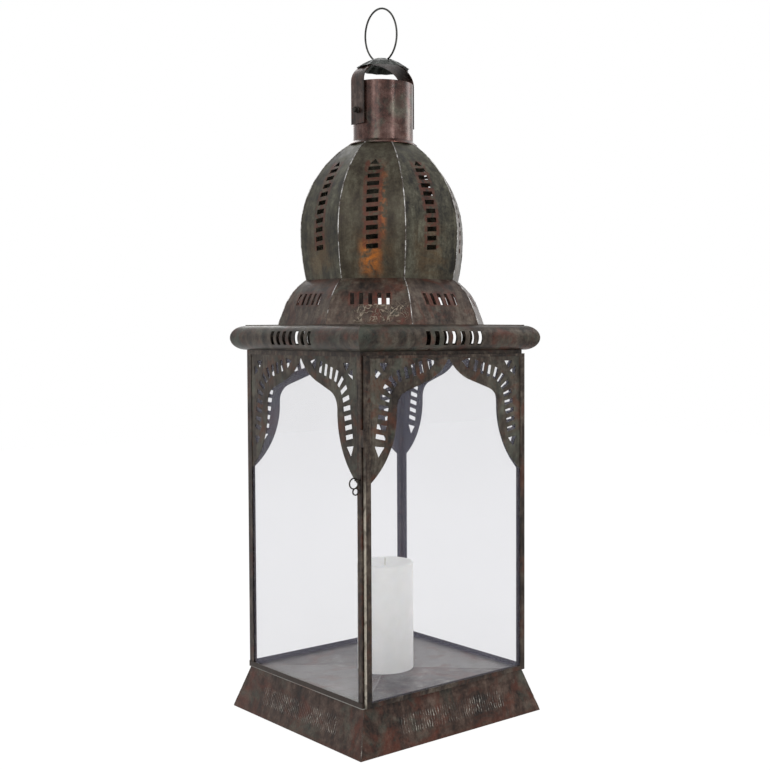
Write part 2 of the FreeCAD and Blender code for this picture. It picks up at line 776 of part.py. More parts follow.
def make_free_stile():
    t, d, width = s.sheet, channel_depth, s.door_stile
    body = new_body("door_free_stile", Placement(Vector(door_left, door_front, door_low), Rotation()))
    section = polygon([(0, 0), (width, 0), (width, t), (t, t), (t, d - t), (width - t, d - t),
                       (width - t, d), (0, d)])
    stile = pad(body, "length", new_sketch(body, "section", "XY_Plane", section), "sizes.box_height")
    stile.setExpression("Length", "sizes.box_height - sizes.door_bottom_gap - sizes.door_top_gap")


def make_hinge_stile():
    """The stile's face runs on into rolled knuckles, with gaps for the knuckles of the post."""
    t, d = s.sheet, channel_depth
    height = "sizes.box_height - sizes.door_bottom_gap - sizes.door_top_gap"
    start, web = hinge_stile_start - hinge_x, hinge_web - hinge_x
    front, back = -knuckle_radius, d - knuckle_radius
    body = new_body("door_hinge_stile", Placement(Vector(hinge_x, hinge_y, door_low), Rotation()))
    section = polygon([(start, front), (web, front), (web, back), (start + t, back), (start + t, back - t),
                       (web - t, back - t), (web - t, front + t), (start, front + t)])
    pad(body, "channel", new_sketch(body, "channel_section", "XY_Plane", section), height)
    leaf = polygon([(web, front), (0, front), (0, front + t), (web, front + t)])
    pad(body, "leaf", new_sketch(body, "leaf_section", "XY_Plane", leaf), height)
    barrel = [Part.Circle(Vector(), Vector(0, 0, 1), knuckle_radius)]
    pad(body, "barrel", new_sketch(body, "barrel_section", "XY_Plane", barrel), height)
    bore = [Part.Circle(Vector(), Vector(0, 0, 1), knuckle_bore)]
    cut_through(body, "bore", new_sketch(body, "bore_section", "XY_Plane", bore))
    gaps = []
    for z in frame_knuckles:
        low = z - door_low - s.knuckle_gap
        high = low + s.frame_knuckle_length + 2 * s.knuckle_gap
        gaps += polygon([(web, low), (2 * knuckle_radius, low), (2 * knuckle_radius, high), (web, high)])
    cut_through(body, "knuckle_gaps", new_sketch(body, "gap_lines", "XZ_Plane", gaps))


def make_hinge():
    """The fixed half of the hinge: knuckles with a leaf on the side of the post, and the rod."""
    leaves = []
    for index, z in enumerate(frame_knuckles):
        body = doc.addObject("PartDesign::Body", f"frame_knuckle_{index + 1}")
        body.Placement = Placement(Vector(hinge_x, hinge_y, z), Rotation())
        barrel = [Part.Circle(Vector(), Vector(0, 0, 1), knuckle_radius)]
        pad(body, "barrel", new_sketch(body, "barrel_section", "XY_Plane", barrel), "sizes.frame_knuckle_length")
        end = -front_half + s.front_post_face - hinge_y
        leaf = polygon([(knuckle_bore, 0), (knuckle_radius, 0), (knuckle_radius, end), (knuckle_bore, end)])
        pad(body, "leaf", new_sketch(body, "leaf_section", "XY_Plane", leaf), "sizes.frame_knuckle_length")
        bore = [Part.Circle(Vector(), Vector(0, 0, 1), s.hinge_rod_radius)]
        cut_through(body, "bore", new_sketch(body, "bore_section", "XY_Plane", bore))
        leaves.append(body)
    pair = doc.addObject("Part::Compound", "hinge_frame_knuckles")
    pair.Label = "hinge_frame_knuckles"
    pair.Links = leaves
    sub_parts.append(pair)
    rod = doc.addObject("Part::Cylinder", "hinge_rod")
    rod.Label = "hinge_rod"
    rod.setExpression("Radius", "sizes.hinge_rod_radius")
    rod.setExpression("Height", "sizes.box_height - sizes.door_bottom_gap - sizes.door_top_gap")
    rod.Placement = Placement(Vector(hinge_x, hinge_y, door_low), Rotation())
    sub_parts.append(rod)


def make_door_rails():
    start = door_left + s.door_stile
    run = f"{hinge_stile_start - start}"
    rails = (("door_bottom_rail", door_low, s.door_bottom_rail_height, True),
             ("door_top_rail", door_high - s.door_top_rail_height, s.door_top_rail_height, False))
    for label, z, height, opens_up in rails:
        body = new_body(label, Placement(Vector(start, door_front, z), Rotation()))
        section = channel(0, 0, height, height, opens_up)
        rail = pad(body, "length", new_sketch(body, "section", "YZ_Plane", section), "sizes.box_width")
        rail.setExpression("Length", run)


def make_door_glazing():
    edge = s.sheet + s.seat_gap
    left, right = door_left + edge, hinge_web - edge
    middle = (door_left + s.door_stile + hinge_stile_start) / 2
    opening_half = (hinge_stile_start - door_left - s.door_stile) / 2
    behind = door_front + s.sheet + s.arch_sheet
    place = Placement(Vector(middle, behind, box_top), Rotation())
    arch_plate("door_arch_panel", opening_half, left - middle, right - middle, s.door_top_gap + s.sheet, place)
    corner = Placement(Vector(left, behind + s.seat_gap, door_low + s.sheet), Rotation())
    box("door_glass", corner, f"{right - left}", "sizes.glass_thickness",
        "sizes.box_height - sizes.door_bottom_gap - sizes.door_top_gap - 2 * sizes.sheet - sizes.seat_gap")


def make_lap_tab():
    """A small bent tab on the free stile that laps round the corner onto the post."""
    t = s.sheet
    out = -box_half - s.running_gap
    reach = -front_half + 0.35 * s.front_post_face
    end = door_left + 0.25 * s.door_stile
    outline = polygon([(out - t, door_front - t), (end, door_front - t), (end, door_front), (out, door_front),
                       (out, reach), (out - t, reach)])
    tab_low = tray_z + s.lap_tab_rise
    place = Placement(Vector(0, 0, tab_low), Rotation())
    plate("door_lap_tab", outline, "sizes.lap_tab_height", place, role="XY_Plane")


# ---- latch -----------------------------------------------------------------------------------

def make_latch():
    """A wire staple in the post and a figure-eight link that hangs in it against the post."""
    wire = s.latch_wire / 2
    big, small = s.latch_big_loop / 2, s.latch_small_loop / 2
    y = -front_half + 0.56 * s.front_post_face
    crown = big - 2 * wire - s.running_gap
    center_x = -box_half - s.running_gap - big - wire
    pin_x = center_x + crown * math.cos(math.pi / 3)
    pin_z = tray_z + s.latch_rise
    center_z = pin_z - crown * math.sin(math.pi / 3)
    link = new_body("latch_link", Placement(Vector(center_x, y, center_z), Rotation()))
    loops = (("big", big, Vector()),
             ("small", small, Vector(big - small, 0, -math.sqrt((big + small) ** 2 - (big - small) ** 2))))
    for name, radius, offset in loops:
        section = polygon(regular_points([wire] * 6, x=radius, turn=math.pi / 6))
        revolve(link, name, new_sketch(link, f"{name}_section", "XY_Plane", section, offset), "V_Axis")
    half = s.staple_half_width
    bend_x = pin_x + half
    path = Part.Wire([
        Part.makeLine(Vector(-box_half, y - half, pin_z), Vector(bend_x, y - half, pin_z)),
        Part.Arc(Vector(bend_x, y - half, pin_z), Vector(pin_x, y, pin_z), Vector(bend_x, y + half, pin_z)).toShape(),
        Part.makeLine(Vector(bend_x, y + half, pin_z), Vector(-box_half, y + half, pin_z)),
    ])
    section = [Vector(-box_half, y - half + a, pin_z + b) for a, b in regular_points([wire] * 6)]
    staple = doc.addObject("Part::Feature", "latch_staple")
    staple.Label = "latch_staple"
    staple.Shape = path.makePipeShell([Part.makePolygon(section + section[:1])], True, False)
    sub_parts.append(staple)


# ---- candle ----------------------------------------------------------------------------------

def make_candle():
    """A pillar candle, burnt a little hollow, and its wick."""
    radius, height = s.candle_width / 2, s.candle_height
    hollow = 0.04 * height
    body = new_body("candle", Placement(Vector(0, 0, floor_z), Rotation()))
    profile = polygon([(0, 0), (radius, 0), (radius, height - hollow / 3), (0.93 * radius, height),
                       (0.8 * radius, height), (0.1 * radius, height - hollow), (0, height - hollow)])
    revolve(body, "wax", new_sketch(body, "profile", "XZ_Plane", profile), "V_Axis")
    wick = doc.addObject("Part::Cylinder", "wick")
    wick.Label = "wick"
    wick.setExpression("Radius", "sizes.wick_radius")
    wick.setExpression("Height", "sizes.wick_height")
    wick.Placement = Placement(Vector(0, 0, floor_z + height - hollow), Rotation())
    sub_parts.append(wick)


# ---- build, check and write ------------------------------------------------------------------

def check_document():
    """Every object recomputed, every cut removed something and every sub-part is a valid solid."""
    for item in doc.Objects:
        if "Invalid" in item.State or "Error" in item.State:
            raise RuntimeError(f"{item.Label} did not recompute: {item.State}")
        if item.TypeId == "PartDesign::Pocket" and item.Shape.Volume >= item.BaseFeature.Shape.Volume:
            raise RuntimeError(f"{item.Label} cuts nothing")
    for item in sub_parts:
        shape = item.Shape
        if shape.isNull() or not shape.isValid() or not shape.Solids:
            raise RuntimeError(f"{item.Label} is not a valid solid")


make_skirt()
make_floor_tray()
make_posts()
make_top_rails()
make_glazing()
make_cornice()
make_deck()
make_drum()
make_dome()
make_chimney()
make_rivets()
make_strap()
make_cap()
make_ring()
make_free_stile()
make_hinge_stile()
make_hinge()
make_door_rails()
make_door_glazing()
make_lap_tab()
make_latch()
make_candle()
doc.recompute()
check_document()
for item in sub_parts:
    item.Shape.exportStep(f"parts/{item.Label}.step")
print(len(sub_parts), "sub-parts written")
print("pivots", pivot_z, ring_pin_z, hinge_x, hinge_y)
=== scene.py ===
import math
import random

import bmesh
import bpy
from mathutils import Matrix, Vector


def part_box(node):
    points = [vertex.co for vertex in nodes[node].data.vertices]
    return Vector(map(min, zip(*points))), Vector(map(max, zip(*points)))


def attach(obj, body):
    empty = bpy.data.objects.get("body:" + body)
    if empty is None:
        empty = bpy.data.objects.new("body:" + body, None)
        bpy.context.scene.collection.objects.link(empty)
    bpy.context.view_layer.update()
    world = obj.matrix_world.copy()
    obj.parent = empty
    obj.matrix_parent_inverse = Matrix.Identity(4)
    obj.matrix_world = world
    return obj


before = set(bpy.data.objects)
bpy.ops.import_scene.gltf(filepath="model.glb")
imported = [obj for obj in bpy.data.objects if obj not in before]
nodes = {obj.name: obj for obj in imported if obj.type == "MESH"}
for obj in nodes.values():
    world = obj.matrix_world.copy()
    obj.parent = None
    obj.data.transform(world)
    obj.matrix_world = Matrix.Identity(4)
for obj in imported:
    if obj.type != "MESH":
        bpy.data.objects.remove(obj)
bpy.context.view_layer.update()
random.seed(7)
MM = 0.001

# ---- Studio ----------------------------------------------------------------------------------
# A white sweep of floor with the lantern on it, soft lamps on three sides, a narrow one in front for
# the line of light down the tube, and a long lens at the height of the panes. The lens is shifted,
# because the photograph is cropped off its axis.
AMBIENT_LIGHT = 0.7
FLOOR_GLOW = 1.06
FLOOR_GLOW_SHARE = 0.9
FLOOR_HALF = 4.0
LENS_MM = 56.18
SHIFT_X = -0.14515
CAMERA_PLACE = Vector((-0.98285, -1.31292, 0.51500))
CAMERA_TARGET = Vector((0.11340, -0.10270, 0.44400))
CAMERA_ROLL = math.radians(-0.043)


def srgb(red, green, blue):
    """A colour as a picture shows it (0 to 255) turned into the light value that a shader takes."""
    parts = [part / 255 for part in (red, green, blue)]
    light = [part / 12.92 if part <= 0.04045 else ((part + 0.055) / 1.055) ** 2.4 for part in parts]
    return (*light, 1.0)


def link(tree, source, target):
    tree.links.new(source, target)


def new_material(name):
    material = bpy.data.materials.new(name)
    material.use_nodes = True
    tree = material.node_tree
    return material, tree, tree.nodes["Principled BSDF"]


def seen_directly(tree):
    """1 for the rays that see the backdrop itself: from the camera, off metal and through glass."""
    path = tree.nodes.new("ShaderNodeLightPath")
    total = path.outputs["Is Camera Ray"]
    for name in ("Is Glossy Ray", "Is Transmission Ray"):
        either = tree.nodes.new("ShaderNodeMath")
        either.operation = "MAXIMUM"
        link(tree, total, either.inputs[0])
        link(tree, path.outputs[name], either.inputs[1])
        total = either.outputs[0]
    return total


def make_world():
    world = bpy.data.worlds.new("studio")
    bpy.context.scene.world = world
    world.use_nodes = True
    tree = world.node_tree
    around = tree.nodes["Background"]
    around.inputs["Color"].default_value = (1, 1, 1, 1)
    around.inputs["Strength"].default_value = AMBIENT_LIGHT
    backdrop = tree.nodes.new("ShaderNodeBackground")
    backdrop.inputs["Color"].default_value = (1, 1, 1, 1)
    backdrop.inputs["Strength"].default_value = 1.0
    choice = tree.nodes.new("ShaderNodeMixShader")
    link(tree, seen_directly(tree), choice.inputs["Fac"])
    link(tree, around.outputs[0], choice.inputs[1])
    link(tree, backdrop.outputs[0], choice.inputs[2])
    link(tree, choice.outputs[0], tree.nodes["World Output"].inputs["Surface"])


def make_floor():
    shape = bmesh.new()
    bmesh.ops.create_grid(shape, x_segments=1, y_segments=1, size=FLOOR_HALF)
    bmesh.ops.translate(shape, verts=shape.verts, vec=(0, 0, -0.0005))
    mesh = bpy.data.meshes.new("floor")
    shape.to_mesh(mesh)
    shape.free()
    floor = bpy.data.objects.new("floor", mesh)
    bpy.context.collection.objects.link(floor)
    material, tree, surface = new_material("white_sweep")
    surface.inputs["Base Color"].default_value = (0.86, 0.86, 0.86, 1)
    surface.inputs["Roughness"].default_value = 0.9
    glow = tree.nodes.new("ShaderNodeEmission")
    glow.inputs["Strength"].default_value = FLOOR_GLOW
    mixed = tree.nodes.new("ShaderNodeMixShader")
    share = tree.nodes.new("ShaderNodeMath")
    share.operation = "MULTIPLY"
    share.inputs[1].default_value = FLOOR_GLOW_SHARE
    link(tree, seen_directly(tree), share.inputs[0])
    link(tree, share.outputs[0], mixed.inputs["Fac"])
    link(tree, surface.outputs[0], mixed.inputs[1])
    link(tree, glow.outputs[0], mixed.inputs[2])
    link(tree, mixed.outputs[0], tree.nodes["Material Output"].inputs["Surface"])
    mesh.materials.append(material)


def soft_lamp(name, place, aim, size, power):
    lamp = bpy.data.lights.new(name, "AREA")
    lamp.shape = "RECTANGLE"
    lamp.size, lamp.size_y = size
    lamp.energy = power
    holder = bpy.data.objects.new(name, lamp)
    holder.location = place
    holder.rotation_euler = (Vector(aim) - Vector(place)).to_track_quat("-Z", "Y").to_euler()
    bpy.context.collection.objects.link(holder)


def make_camera():
    lens = bpy.data.cameras.new("camera")
    lens.lens = LENS_MM
    lens.sensor_width = 36
    lens.shift_x = SHIFT_X
    camera = bpy.data.objects.new("camera", lens)
    turn = (CAMERA_TARGET - CAMERA_PLACE).to_track_quat("-Z", "Y").to_matrix()
    turn = turn @ Matrix.Rotation(CAMERA_ROLL, 3, "Z")
    camera.matrix_world = Matrix.Translation(CAMERA_PLACE) @ turn.to_4x4()
    bpy.context.collection.objects.link(camera)
    bpy.context.scene.camera = camera


make_world()
make_floor()
soft_lamp("left_window", (-1.9, -0.9, 1.5), (0, 0, 0.5), (1.2, 1.6), 15)
soft_lamp("front_strip", (0.05, -2.1, 1.0), (0, 0, 0.7), (0.14, 1.7), 9)
soft_lamp("right_window", (2.1, -0.5, 1.3), (0, 0, 0.6), (0.9, 1.6), 17)
soft_lamp("back_window", (0.9, 1.8, 1.7), (0, 0, 0.6), (1.4, 1.4), 10)
make_camera()
bpy.context.scene.view_settings.view_transform = "Standard"

# ---- Skirt -----------------------------------------------------------------------------------
# Four flared strips of thin steel, soldered at the corners and turned in at the hem. The steel is
# darkened with acid and rubbed back, so it is brown black with rust and grey green patches. A band
# of punched strokes runs along the middle of each strip.
SKIRT_MIDDLE_Z = 27 * MM
BAND_HALF_HEIGHT = 8.5 * MM
BAND_HALF_LENGTH = 78 * MM
STROKE_PITCH = 3.9 * MM
SKIRT_BEAD = 0.75 * MM


def object_place(tree, turn=0.0, shift=(0, 0, 0), scale=(1, 1, 1)):
    """Object coordinates, turned about the lantern's axis so that x runs along one side."""
    place = tree.nodes.new("ShaderNodeTexCoord")
    mapping = tree.nodes.new("ShaderNodeMapping")
    mapping.inputs["Rotation"].default_value = (0, 0, turn)
    mapping.inputs["Location"].default_value = shift
    mapping.inputs["Scale"].default_value = scale
    link(tree, place.outputs["Object"], mapping.inputs["Vector"])
    return mapping.outputs["Vector"]


def noise(tree, place, scale, detail=4.0, roughness=0.55, distortion=0.0):
    texture = tree.nodes.new("ShaderNodeTexNoise")
    texture.inputs["Scale"].default_value = scale
    texture.inputs["Detail"].default_value = detail
    texture.inputs["Roughness"].default_value = roughness
    texture.inputs["Distortion"].default_value = distortion
    link(tree, place, texture.inputs["Vector"])
    return texture.outputs["Fac"]


def ramp(tree, value, stops):
    """Colours or grey levels at given positions along a value."""
    bar = tree.nodes.new("ShaderNodeValToRGB")
    while len(bar.color_ramp.elements) < len(stops):
        bar.color_ramp.elements.new(0.5)
    for element, (position, colour) in zip(bar.color_ramp.elements, stops):
        element.position = position
        element.color = colour if isinstance(colour, tuple) else (colour, colour, colour, 1)
    link(tree, value, bar.inputs["Fac"])
    return bar.outputs["Color"]


def calculate(tree, operation, first, second=None, third=None):
    node = tree.nodes.new("ShaderNodeMath")
    node.operation = operation
    for socket, value in zip(node.inputs, (first, second, third)):
        if value is None:
            continue
        if isinstance(value, (int, float)):
            socket.default_value = value
        else:
            link(tree, value, socket)
    return node.outputs[0]


def blend(tree, share, below, above, kind="MIX"):
    mixer = tree.nodes.new("ShaderNodeMix")
    mixer.data_type = "RGBA"
    mixer.blend_type = kind
    for name, value in (("Factor", share), ("A", below), ("B", above)):
        if isinstance(value, (int, float, tuple)):
            mixer.inputs[name].default_value = value
        else:
            link(tree, value, mixer.inputs[name])
    return mixer.outputs["Result"]


def window(tree, value, center, half, edge):
    """1 where a value is within half of the centre, fading out over edge."""
    away = calculate(tree, "ABSOLUTE", calculate(tree, "SUBTRACT", value, center))
    fade = tree.nodes.new("ShaderNodeMapRange")
    fade.inputs["From Min"].default_value = half + edge
    fade.inputs["From Max"].default_value = half
    fade.inputs["To Min"].default_value = 0
    fade.inputs["To Max"].default_value = 1
    fade.interpolation_type = "SMOOTHSTEP"
    link(tree, away, fade.inputs["Value"])
    return fade.outputs["Result"]


def overlap(tree, first, second):
    """Where both of two masks are."""
    return calculate(tree, "MULTIPLY", first, second)


def split(tree, place):
    parts = tree.nodes.new("ShaderNodeSeparateXYZ")
    link(tree, place, parts.inputs[0])
    return parts.outputs


class Finish:
    """A darkened and rubbed steel surface, built up in layers before it is closed."""

    def __init__(self, name, dark, middle, light, turn=0.0, shift=0.0, grain=1.0):
        self.material, self.tree, self.surface = new_material(name)
        tree = self.tree
        self.place = object_place(tree, turn)
        moved = object_place(tree, turn, (shift, 1.3 * shift, 0.7 * shift))
        clouds = noise(tree, moved, 19 * grain, 9, 0.72, 0.5)
        blots = noise(tree, moved, 95 * grain, 6, 0.74, 0.3)
        runs = noise(tree, object_place(tree, turn, (shift, 0, 0), (1, 1, 0.11)), 75 * grain, 7, 0.7)
        tone = calculate(tree, "MULTIPLY_ADD", clouds, 0.34, calculate(tree, "MULTIPLY", blots, 0.3))
        tone = calculate(tree, "MULTIPLY_ADD", runs, 0.36, tone)
        self.color = ramp(tree, tone, ((0.42, dark), (0.5, middle), (0.6, light)))
        self.speckle = noise(tree, moved, 420 * grain, 3, 0.6)
        self.blots = blots
        self.moved = moved
        dents = noise(tree, moved, 34 * grain, 2, 0.5)
        self.height = calculate(tree, "ADD", calculate(tree, "MULTIPLY", self.speckle, 0.08), dents)

    def patches(self, colour, scale, start, end, strength=1.0, mask=None):
        """Irregular patches of another colour, such as rust or verdigris."""
        spots = noise(self.tree, self.moved, scale, 8, 0.68, 0.9)
        share = ramp(self.tree, spots, ((start, 0.0), (end, strength)))
        if mask is not None:
            share = overlap(self.tree, share, mask)
        self.color = blend(self.tree, share, self.color, colour)
        return self

    def tint(self, colour, share):
        self.color = blend(self.tree, share, self.color, colour)
        return self

    def raise_by(self, height):
        self.height = calculate(self.tree, "ADD", self.height, height)
        return self

    def close(self, metallic=0.4, rough=(0.3, 0.58), bump=0.35, depth=0.0012, gloss=0.28):
        tree, surface = self.tree, self.surface
        fine = ramp(tree, self.speckle, ((0.38, 0.84), (0.64, 1.1)))
        color = blend(tree, 1.0, self.color, fine, "MULTIPLY")
        link(tree, color, surface.inputs["Base Color"])
        surface.inputs["Metallic"].default_value = metallic
        surface.inputs["Specular IOR Level"].default_value = gloss
        spread = tree.nodes.new("ShaderNodeMapRange")
        spread.inputs["From Min"].default_value = 0.3
        spread.inputs["From Max"].default_value = 0.7
        spread.inputs["To Min"].default_value, spread.inputs["To Max"].default_value = rough
        link(tree, self.blots, spread.inputs["Value"])
        link(tree, spread.outputs["Result"], surface.inputs["Roughness"])
        relief = tree.nodes.new("ShaderNodeBump")
        relief.inputs["Strength"].default_value = bump
        relief.inputs["Distance"].default_value = depth
        link(tree, self.height, relief.inputs["Height"])
        link(tree, relief.outputs["Normal"], surface.inputs["Normal"])
        return self.material


SIDE_TURN = {"front": 0.0, "right": -math.pi / 2, "back": math.pi, "left": math.pi / 2}
RUST = srgb(88, 42, 28)
BRIGHT_RUST = srgb(136, 74, 34)
GREY_GREEN = srgb(78, 86, 76)


def dress(name, material):
    """Gives a CAD node its finish."""
    mesh = nodes[name].data
    mesh.materials.clear()
    mesh.materials.append(material)


def punched_band(finish, along, up):
    """Rows of short upright strokes, punched from the outside and rubbed bright on their edges."""
    tree = finish.tree
    wobble = noise(tree, finish.place, 90, 2)
    shifted = calculate(tree, "MULTIPLY_ADD", wobble, 1.6 * STROKE_PITCH, along)
    wave = calculate(tree, "SINE", calculate(tree, "MULTIPLY", shifted, 2 * math.pi / STROKE_PITCH))
    broken = ramp(tree, noise(tree, finish.place, 75, 4, 0.75), ((0.44, 0.15), (0.58, 1.0)))
    inside = overlap(tree, window(tree, up, SKIRT_MIDDLE_Z, BAND_HALF_HEIGHT, 4 * MM),
                     window(tree, along, 4 * MM, BAND_HALF_LENGTH, 14 * MM))
    strokes = overlap(tree, overlap(tree, inside, broken), calculate(tree, "MAXIMUM", wave, 0.0))
    finish.raise_by(calculate(tree, "MULTIPLY", strokes, 1.6))
    shine = calculate(tree, "MULTIPLY", calculate(tree, "POWER", strokes, 2.2), 0.85)
    return finish.tint(srgb(168, 162, 152), shine)


def skirt_finish(side):
    turn = SIDE_TURN[side]
    finish = Finish(f"skirt_steel_{side}", srgb(22, 16, 13), srgb(56, 41, 34), srgb(90, 74, 65),
                    turn, 3.1 + turn)
    finish.patches(RUST, 22, 0.5, 0.66, 0.6).patches(GREY_GREEN, 14, 0.52, 0.68, 0.55)
    x, _, z = split(finish.tree, finish.place)
    hem = window(finish.tree, z, 0.0, 1.5 * MM, 5 * MM)
    finish.patches(srgb(72, 40, 28), 60, 0.36, 0.6, 0.6, hem)
    return punched_band(finish, x, z).close(0.4, (0.28, 0.5), 0.6, 0.0018)


def bead(name, points, radius, body, material, uneven=0.25):
    """A thin ridge of solder along a seam, a little uneven in thickness."""
    curve = bpy.data.curves.new(name, "CURVE")
    curve.dimensions = "3D"
    curve.bevel_depth = radius
    curve.bevel_resolution = 2
    curve.use_fill_caps = True
    spline = curve.splines.new("POLY")
    spline.points.add(len(points) - 1)
    for target, place in zip(spline.points, points):
        target.co = (*place, 1)
        target.radius = 1 + random.uniform(-uneven, uneven)
    holder = bpy.data.objects.new(f"{name}_curve", curve)
    mesh = bpy.data.meshes.new_from_object(holder)
    bpy.data.objects.remove(holder)
    for face in mesh.polygons:
        face.use_smooth = True
    mesh.materials.clear()
    mesh.materials.append(material)
    piece = bpy.data.objects.new(name, mesh)
    bpy.context.collection.objects.link(piece)
    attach(piece, body)
    return piece


def between(start, end, count):
    return [Vector(start).lerp(Vector(end), step / count) for step in range(count + 1)]


def solder_finish(name, dark, middle, light, worn):
    finish = Finish(name, dark, middle, light, shift=9.7, grain=2.5)
    finish.patches(srgb(60, 50, 43), 48, worn, worn + 0.1, 0.95)
    return finish.close(0.7, (0.22, 0.42), 0.3, 0.0004, 0.5)


solder = solder_finish("solder", srgb(66, 62, 58), srgb(158, 155, 152), srgb(218, 216, 216), 0.48)
aged_solder = solder_finish("aged_solder", srgb(36, 30, 26), srgb(70, 60, 54), srgb(142, 136, 130), 0.44)
for side in SIDE_TURN:
    dress(f"skirt_{side}", skirt_finish(side))
skirt_low, skirt_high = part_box("skirt_front")
foot = -skirt_low[1]
top = foot - (skirt_high[0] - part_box("floor_tray")[1][0]) - 1.6 * MM
seam_low, seam_high = 1.2 * MM, skirt_high[2] - 2 * MM
for number, (x_sign, y_sign) in enumerate(((-1, -1), (1, -1), (1, 1), (-1, 1))):
    inward = Vector((x_sign, y_sign, 0)) * SKIRT_BEAD
    seam = between((x_sign * foot, y_sign * foot, seam_low), (x_sign * top, y_sign * top, seam_high), 14)
    bead(f"skirt_seam_{number + 1}", [p - inward for p in seam], SKIRT_BEAD, "lantern", aged_solder)

# ---- Floor tray ------------------------------------------------------------------------------
# A shallow pan of the same steel, folded up at its edges, with two diagonal creases that stiffen
# it. Its side quarters are painted lighter and its back painted darker, as painted light and shade
# on the facets, and a painted highlight runs along the creases; grey patches lie over it.
finish = Finish("tray_steel", srgb(44, 38, 33), srgb(100, 94, 87), srgb(146, 142, 135), shift=5.5)
tree = finish.tree
x, y, z = split(tree, finish.place)
crease_gap = calculate(tree, "SUBTRACT", calculate(tree, "ABSOLUTE", x), calculate(tree, "ABSOLUTE", y))
# The side quarters between the creases are painted lighter and the back painted darker: painted light and
# shade on the facets.
painted_light_side_quarters = ramp(tree, calculate(tree, "MULTIPLY_ADD", crease_gap, 200.0, 0.5), ((0.3, 0.0), (0.7, 0.55)))
back_shade = ramp(tree, calculate(tree, "MULTIPLY_ADD", y, 4.0, 0.5), ((0.2, 0.0), (0.9, 0.5)))
finish.tint(srgb(148, 146, 142), painted_light_side_quarters).tint(srgb(52, 46, 42), back_shade)
finish.patches(srgb(104, 62, 44), 26, 0.5, 0.64, 0.6).patches(srgb(126, 128, 122), 12, 0.5, 0.66, 0.5)
crease = window(tree, crease_gap, 0.0, 0.2 * MM, 2.2 * MM)
finish.raise_by(calculate(tree, "MULTIPLY", crease, 1.4))
# A painted highlight along the creases.
finish.tint(srgb(160, 158, 152), calculate(tree, "MULTIPLY", crease, 0.45))
finish.tint(srgb(48, 38, 32), window(tree, z, 62 * MM, 4.4 * MM, 1 * MM))
dress("floor_tray", finish.close(0.45, (0.3, 0.5), 0.35, 0.0012))

# ---- Posts and rails -------------------------------------------------------------------------
# Folded steel channels at the four corners and over the panes. They are almost black, with brown
# where the finish has rubbed off.


def frame_finish(name, shift, open_finish=False):
    finish = Finish(name, srgb(22, 17, 14), srgb(50, 41, 35), srgb(90, 80, 70), shift=shift, grain=1.6)
    finish.patches(srgb(78, 42, 28), 30, 0.52, 0.64, 0.6)
    return finish if open_finish else finish.close(0.4, (0.28, 0.5), 0.3, 0.0008)


frame_steel = frame_finish("frame_steel", 2.2)
for name in ("post_front_left", "post_front_right", "post_back_left", "post_back_right", "top_rail_front",
             "top_rail_left", "top_rail_back", "top_rail_right"):
    dress(name, frame_steel)

# ---- Arch sheets and panes -------------------------------------------------------------------
# Thin sheets cut with a chisel to a cusped arch and a row of slots, with a clear pane behind each.


def arch_finish(name, shift):
    finish = Finish(name, srgb(26, 21, 17), srgb(58, 50, 43), srgb(92, 86, 76), shift=shift)
    finish.patches(srgb(84, 46, 30), 34, 0.52, 0.64, 0.6).patches(GREY_GREEN, 16, 0.5, 0.66, 0.5)
    return finish.close(0.4, (0.3, 0.56), 0.45, 0.0012)


def pane_finish():
    material, tree, surface = new_material("clear_pane")
    surface.inputs["Base Color"].default_value = srgb(152, 152, 170)
    surface.inputs["Roughness"].default_value = 0.06
    surface.inputs["IOR"].default_value = 1.5
    film = noise(tree, object_place(tree), 9, 3, 0.5)
    link(tree, calculate(tree, "MULTIPLY_ADD", film, 0.012, 0.083), surface.inputs["Alpha"])
    return material


pane = pane_finish()
for index, side in enumerate(("left", "back", "right")):
    dress(f"arch_panel_{side}", arch_finish(f"arch_steel_{side}", 1.7 + 2.3 * index))
    dress(f"glass_{side}", pane)

# ---- Cornice and deck ------------------------------------------------------------------------
# Half-round mouldings raised from sheet, mitred at the corners, with seven slots cut in each. A
# flat deck closes the box between them and the drum.


def cornice_finish(side):
    turn = SIDE_TURN[side]
    finish = Finish(f"cornice_steel_{side}", srgb(20, 16, 13), srgb(52, 43, 36), srgb(86, 77, 67),
                    turn, 6.3 + turn)
    finish.patches(RUST, 22, 0.52, 0.66, 0.6).patches(GREY_GREEN, 13, 0.5, 0.66, 0.5)
    return finish.close(0.4, (0.24, 0.48), 0.45, 0.0014)


for side in SIDE_TURN:
    dress(f"cornice_{side}", cornice_finish(side))
deck = Finish("deck_steel", srgb(34, 28, 24), srgb(66, 57, 49), srgb(98, 90, 80), shift=8.2)
dress("roof_deck", deck.patches(RUST, 20, 0.5, 0.72, 0.7).close())

# ---- Drum and dome ---------------------------------------------------------------------------
# Eight bent panels make the drum and eight tapering gores the dome. Each gore has a ladder of slots
# with a red-brown border, and a raised bead of solder closes every seam.
GORE_STEP = math.pi / 4
LADDER_HALF = 9 * MM
LADDER_FROM_FOOT = 40 * MM
LADDER_FROM_TOP = 30 * MM
DRUM_SLOTS_HALF = 26 * MM
DRUM_SLOTS_FROM_FOOT = 26 * MM
DRUM_SLOTS_FROM_TOP = 20 * MM
DRUM_BEAD = 0.6 * MM
DOME_BEAD = 0.65 * MM
CORNER_GORE = 7


def halo(finish, half, low, high):
    """The red-brown border round a row of slots, broken up at its edge."""
    x, _, z = split(finish.tree, finish.place)
    return overlap(finish.tree, window(finish.tree, x, 0.0, half, 3.5 * MM),
                   window(finish.tree, z, (low + high) / 2, (high - low) / 2, 5 * MM))


